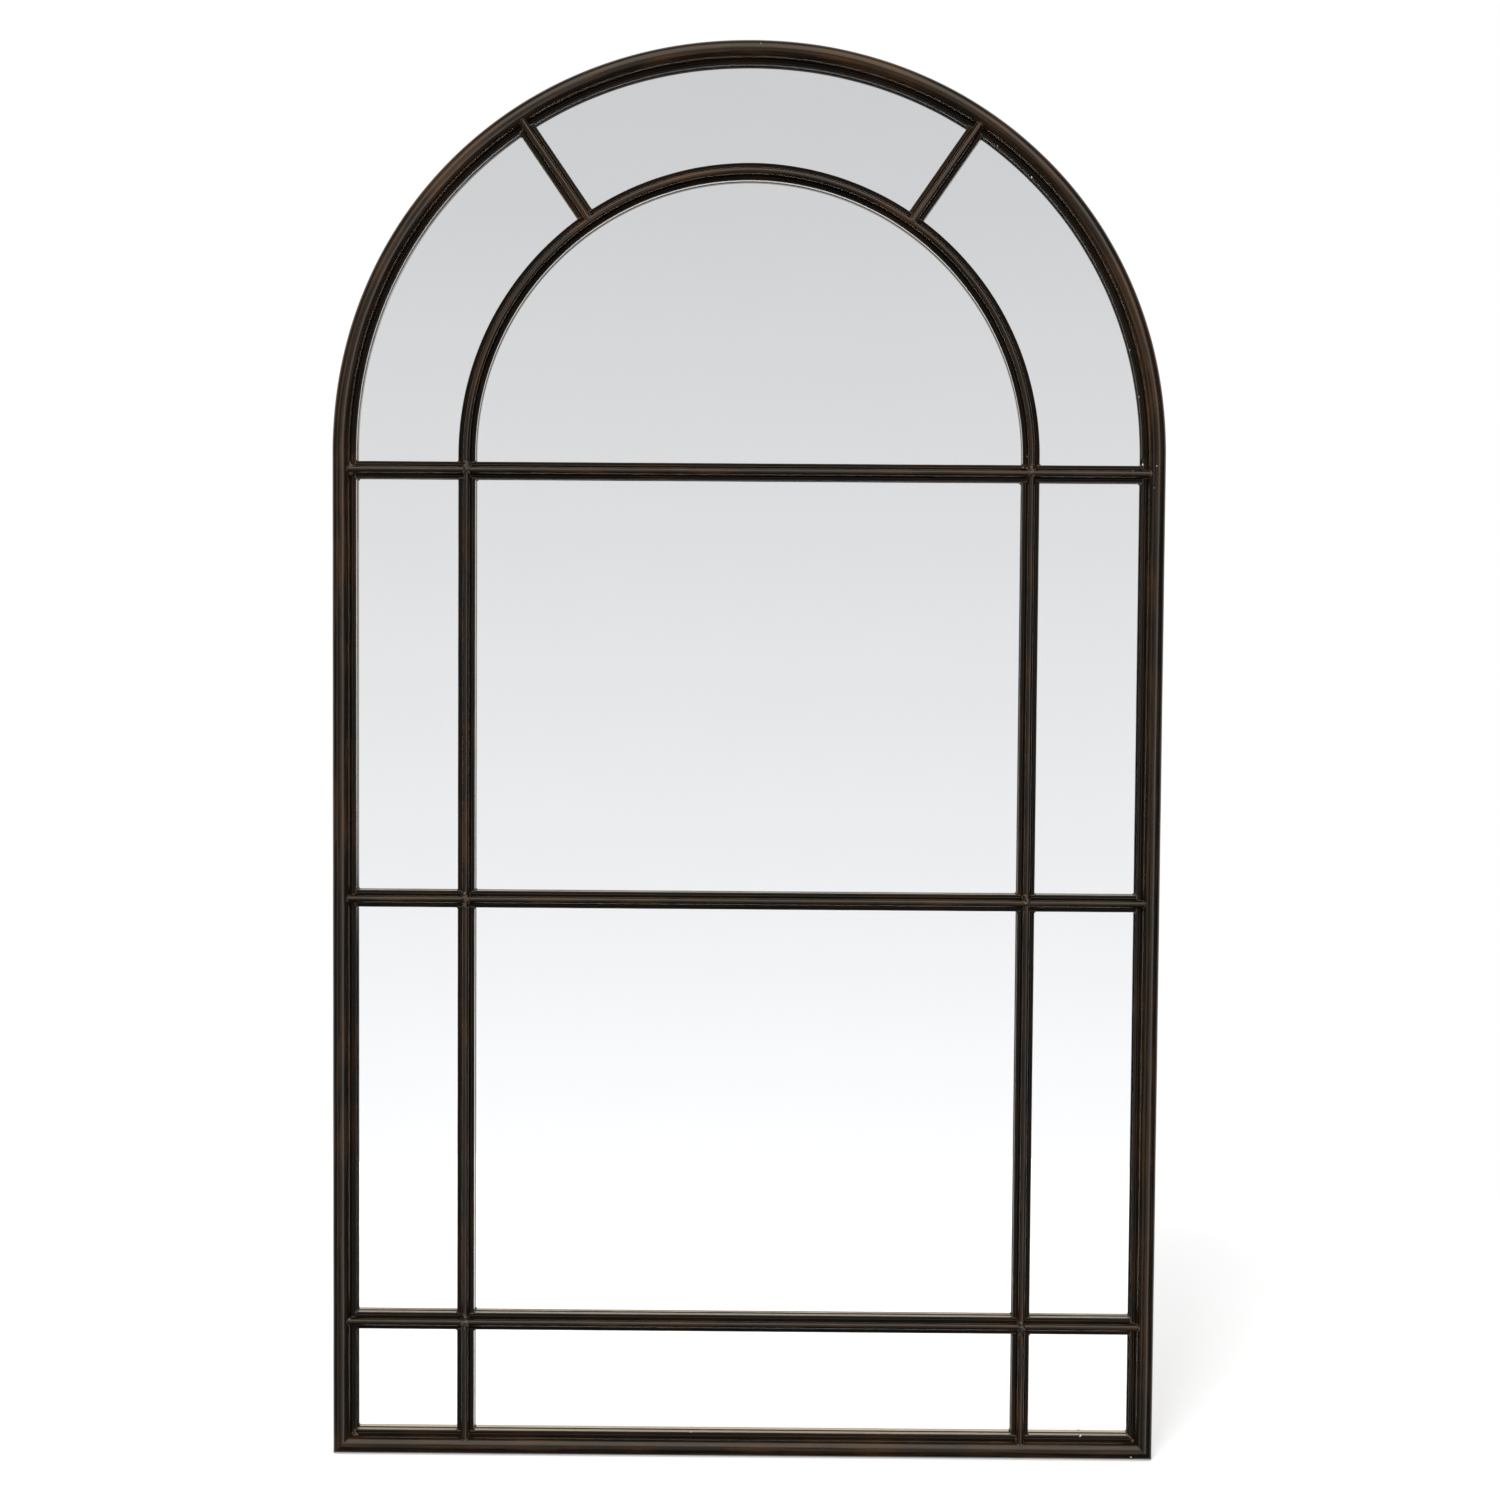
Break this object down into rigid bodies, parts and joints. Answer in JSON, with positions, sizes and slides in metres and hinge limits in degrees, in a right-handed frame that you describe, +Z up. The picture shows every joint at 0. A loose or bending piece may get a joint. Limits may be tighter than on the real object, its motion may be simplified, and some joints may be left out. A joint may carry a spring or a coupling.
{
  "type": "arched window mirror",
  "caption": "Tall wall mirror in a welded steel frame with a round arched top, divided by glazing bars like a window, with keyhole hangers on the back.",
  "frame": {"origin": "middle of the bottom edge, half way through the depth", "axes": "+X to the viewer's right, +Y towards the wall, so the mirror faces -Y, +Z up"},
  "size_m": [1.05, 0.0404, 1.795],
  "materials": {
    "steel": "dark brown-black lacquer over steel, satin, rubbed to brown and grey along the beads",
    "mirror": "silvered float glass, 4 mm, cut edges",
    "board": "bare brown hardboard, smooth side out",
    "zinc": "zinc plated",
    "rubber": "matt black"
  },
  "bodies": {
    "root": {"frame_stile_left": "steel", "frame_stile_right": "steel", "frame_bottom_rail": "steel", "frame_arch": "steel", "transom_bar": "steel", "middle_bar": "steel", "lower_bar": "steel", "upright_left_upper": "steel", "upright_left_middle": "steel", "upright_left_lower": "steel", "upright_right_upper": "steel", "upright_right_middle": "steel", "upright_right_lower": "steel", "inner_arch_bar": "steel", "spoke_left": "steel", "spoke_right": "steel", "pane_upper_left": "mirror", "pane_upper_centre": "mirror", "pane_upper_right": "mirror", "pane_middle_left": "mirror", "pane_middle_centre": "mirror", "pane_middle_right": "mirror", "pane_lower_left": "mirror", "pane_lower_centre": "mirror", "pane_lower_right": "mirror", "pane_lunette": "mirror", "pane_fan_top": "mirror", "pane_fan_left": "mirror", "pane_fan_right": "mirror", "backing_board": "board", "board_clip_left_lower": "zinc", "board_clip_left_upper": "zinc", "board_clip_right_lower": "zinc", "board_clip_right_upper": "zinc", "board_clip_bottom_left": "zinc", "board_clip_bottom_right": "zinc", "board_clip_arch_left": "zinc", "board_clip_arch_crown": "zinc", "board_clip_arch_right": "zinc", "clip_screw_left_lower": "zinc", "clip_screw_left_upper": "zinc", "clip_screw_right_lower": "zinc", "clip_screw_right_upper": "zinc", "clip_screw_bottom_left": "zinc", "clip_screw_bottom_right": "zinc", "clip_screw_arch_left": "zinc", "clip_screw_arch_crown": "zinc", "clip_screw_arch_right": "zinc", "hanger_plate_left": "zinc", "hanger_plate_right": "zinc", "hanger_screw_left_upper": "zinc", "hanger_screw_left_lower": "zinc", "hanger_screw_right_upper": "zinc", "hanger_screw_right_lower": "zinc", "bumper_bottom_left": "rubber", "bumper_bottom_right": "rubber", "bumper_top_left": "rubber", "bumper_top_right": "rubber"}
  },
  "joints": []
}
